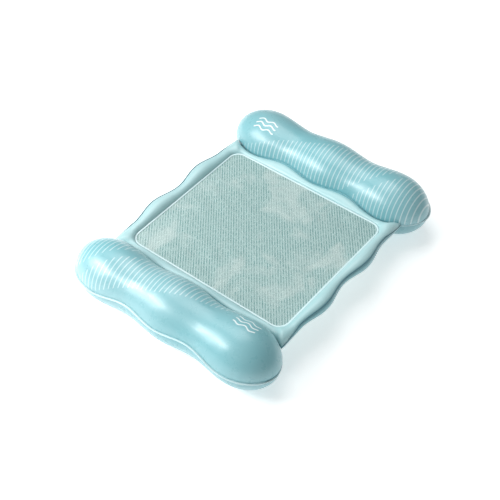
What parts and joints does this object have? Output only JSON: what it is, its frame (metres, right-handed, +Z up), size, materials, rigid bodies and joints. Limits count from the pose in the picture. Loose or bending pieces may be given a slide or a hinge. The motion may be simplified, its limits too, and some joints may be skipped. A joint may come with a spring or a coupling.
{
  "type": "inflatable pool float",
  "caption": "Inflatable water hammock with a lobed air pillow at each end and a mesh seat in an inflated ring between them, with push-in air valves.",
  "frame": {"origin": "on the ground under the middle of the float", "axes": "+Z up, +Y from the foot pillow to the head pillow, +X along the pillows"},
  "size_m": [0.9908, 1.2868, 0.2539],
  "materials": {
    "teal_film": "gloss",
    "pale_film": "gloss",
    "border_film": "gloss",
    "mesh": "matte",
    "valve_clear": "gloss",
    "valve_soft": "satin"
  },
  "bodies": {
    "seat_frame": {"frame_top": "pale_film", "frame_bottom": "pale_film", "mesh_panel": "mesh", "mesh_border_top": "border_film", "mesh_border_bottom": "border_film", "frame_valve_seat": "valve_clear"},
    "head_pillow": {"head_pillow_top": "teal_film", "head_pillow_bottom": "teal_film", "head_valve_seat": "valve_clear"},
    "foot_pillow": {"foot_pillow_top": "teal_film", "foot_pillow_bottom": "teal_film", "foot_valve_seat": "valve_clear"},
    "head_valve_stem": {"head_valve_stem": "valve_clear"},
    "head_valve_plug": {"head_valve_plug": "valve_soft"},
    "head_valve_flap": {"head_valve_flap": "valve_soft"},
    "foot_valve_stem": {"foot_valve_stem": "valve_clear"},
    "foot_valve_plug": {"foot_valve_plug": "valve_soft"},
    "foot_valve_flap": {"foot_valve_flap": "valve_soft"},
    "frame_valve_stem": {"frame_valve_stem": "valve_clear"},
    "frame_valve_plug": {"frame_valve_plug": "valve_soft"},
    "frame_valve_flap": {"frame_valve_flap": "valve_soft"}
  },
  "joints": [
    {"name": "head_pillow_fold", "type": "hinge", "parent": "seat_frame", "child": "head_pillow", "pos_m": [0, 0.3869, 0.138], "axis": [1, 0, 0], "range_deg": [-25, 30], "stiffness_Nm_per_rad": 12},
    {"name": "foot_pillow_fold", "type": "hinge", "parent": "seat_frame", "child": "foot_pillow", "pos_m": [0, -0.3869, 0.138], "axis": [-1, 0, 0], "range_deg": [-25, 30], "stiffness_Nm_per_rad": 12},
    {"name": "head_valve_slide", "type": "slide", "parent": "head_pillow", "child": "head_valve_stem", "axis": [0, 0.6947, -0.7193], "range_m": [0, 0.012]},
    {"name": "head_plug_swing", "type": "hinge", "parent": "head_valve_stem", "child": "head_valve_plug", "pos_m": [0.3355, 0.5996, 0.03322], "axis": [0, -0.7193, -0.6947], "range_deg": [0, 140]},
    {"name": "head_flap_swing", "type": "hinge", "parent": "head_valve_stem", "child": "head_valve_flap", "pos_m": [0.3196, 0.58539, 0.04793], "axis": [0, -0.7193, -0.6947], "range_deg": [0, 55], "stiffness_Nm_per_rad": 0.002},
    {"name": "foot_valve_slide", "type": "slide", "parent": "foot_pillow", "child": "foot_valve_stem", "axis": [0, -0.6947, -0.7193], "range_m": [0, 0.012]},
    {"name": "foot_plug_swing", "type": "hinge", "parent": "foot_valve_stem", "child": "foot_valve_plug", "pos_m": [-0.3355, -0.5996, 0.03322], "axis": [0, 0.7193, -0.6947], "range_deg": [0, 140]},
    {"name": "foot_flap_swing", "type": "hinge", "parent": "foot_valve_stem", "child": "foot_valve_flap", "pos_m": [-0.3196, -0.58539, 0.04793], "axis": [0, 0.7193, -0.6947], "range_deg": [0, 55], "stiffness_Nm_per_rad": 0.002},
    {"name": "frame_valve_slide", "type": "slide", "parent": "seat_frame", "child": "frame_valve_stem", "axis": [0, 0, -1], "range_m": [0, 0.012]},
    {"name": "frame_plug_swing", "type": "hinge", "parent": "frame_valve_stem", "child": "frame_valve_plug", "pos_m": [-0.422, 0.1505, 0.10837], "axis": [1, 0, 0], "range_deg": [0, 140]},
    {"name": "frame_flap_swing", "type": "hinge", "parent": "frame_valve_stem", "child": "frame_valve_flap", "pos_m": [-0.422, 0.1346, 0.12882], "axis": [1, 0, 0], "range_deg": [0, 55], "stiffness_Nm_per_rad": 0.002}
  ]
}
